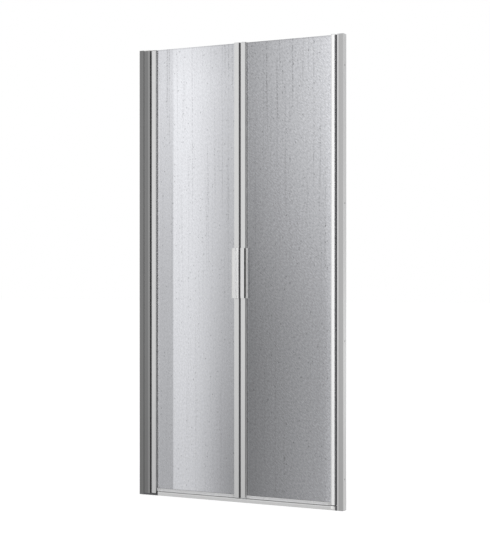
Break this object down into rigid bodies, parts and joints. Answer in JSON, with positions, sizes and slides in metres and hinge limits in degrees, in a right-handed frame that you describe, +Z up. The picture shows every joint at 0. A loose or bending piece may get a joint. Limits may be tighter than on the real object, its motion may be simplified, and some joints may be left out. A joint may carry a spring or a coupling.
{
  "type": "bifold shower door",
  "caption": "Bifold shower door of clear glass in slim aluminium stiles, with a pivot heel, a hinged fold, pull handles and a guide shoe in a bottom rail.",
  "frame": {"origin": "under the middle of the door's width, on the mid plane of the frame, on the surface the rail stands on", "axes": "+X along the door towards the strike post, +Y from the outside into the shower, +Z up"},
  "size_m": [0.95, 0.0456, 1.9],
  "materials": {
    "grey_aluminium": "satin anodised, grey",
    "silver_aluminium": "satin anodised, silver",
    "bright_aluminium": "polished, bright",
    "handle_silver": "satin anodised, silver",
    "glass": "clear toughened glass with fine rain texture",
    "seal_black": "matt black",
    "seal_clear": "translucent, clear",
    "magnet_strip": "matt dark grey",
    "steel": "stainless steel",
    "dark_plastic": "matt dark grey",
    "silver_plastic": "satin silver grey",
    "white_plastic": "smooth white acetal"
  },
  "bodies": {
    "frame": {"left_wall_channel": "grey_aluminium", "right_wall_channel": "silver_aluminium", "hinge_post": "grey_aluminium", "strike_post": "silver_aluminium", "left_channel_cap": "dark_plastic", "right_jamb_cap": "silver_plastic", "post_screws": "steel", "top_pivot_bracket": "steel", "bottom_pivot_bracket": "dark_plastic", "top_pivot_pin": "steel", "bottom_pivot_pin": "steel", "pivot_bracket_screws": "steel", "bottom_rail": "silver_aluminium", "rail_end_cap": "dark_plastic", "guide_end_stops": "dark_plastic", "guide_stop_screws": "steel", "strike_magnet_strip": "magnet_strip"},
    "left_leaf": {"left_glass": "glass", "heel_stile": "silver_aluminium", "left_fold_stile": "silver_aluminium", "heel_gasket": "seal_clear", "left_fold_gasket": "seal_clear", "heel_bulb_seal": "seal_black", "fold_seal": "seal_black", "left_bottom_seal": "seal_clear", "heel_pivot_plugs": "dark_plastic", "thrust_washer": "white_plastic", "left_fold_stile_caps": "silver_plastic", "left_handle": "handle_silver", "left_handle_bolts": "steel", "left_hinge_plates": "steel", "left_hinge_screws": "steel", "fold_hinge_pins": "steel"},
    "right_leaf": {"right_glass": "glass", "right_fold_stile": "silver_aluminium", "closing_stile": "bright_aluminium", "right_fold_gasket": "seal_clear", "closing_gasket": "seal_clear", "right_bottom_seal": "seal_clear", "right_fold_stile_caps": "silver_plastic", "closing_stile_cap": "silver_plastic", "guide_foot": "dark_plastic", "guide_pin": "steel", "closing_magnet_strip": "magnet_strip", "right_handle": "handle_silver", "right_handle_bolts": "steel", "right_hinge_plates": "steel", "right_hinge_screws": "steel"},
    "shoe": {"guide_shoe": "white_plastic"}
  },
  "joints": [
    {"name": "left_leaf_pivot", "type": "hinge", "parent": "frame", "child": "left_leaf", "pos_m": [-0.4085, 0.002, 0.95], "axis": [0, 0, -1], "range_deg": [0, 80]},
    {"name": "fold_hinge", "type": "hinge", "parent": "left_leaf", "child": "right_leaf", "pos_m": [0.00925, 0.0135, 0.95], "axis": [0, 0, 1], "range_deg": [0, 160]},
    {"name": "shoe_pivot", "type": "hinge", "parent": "right_leaf", "child": "shoe", "pos_m": [0.427, 0.002, 0.01], "axis": [0, 0, -1], "range_deg": [0, 80]}
  ],
  "couplings": [
    {"joint": "fold_hinge", "follows": "left_leaf_pivot", "ratio": 2},
    {"joint": "shoe_pivot", "follows": "left_leaf_pivot", "ratio": 1}
  ]
}
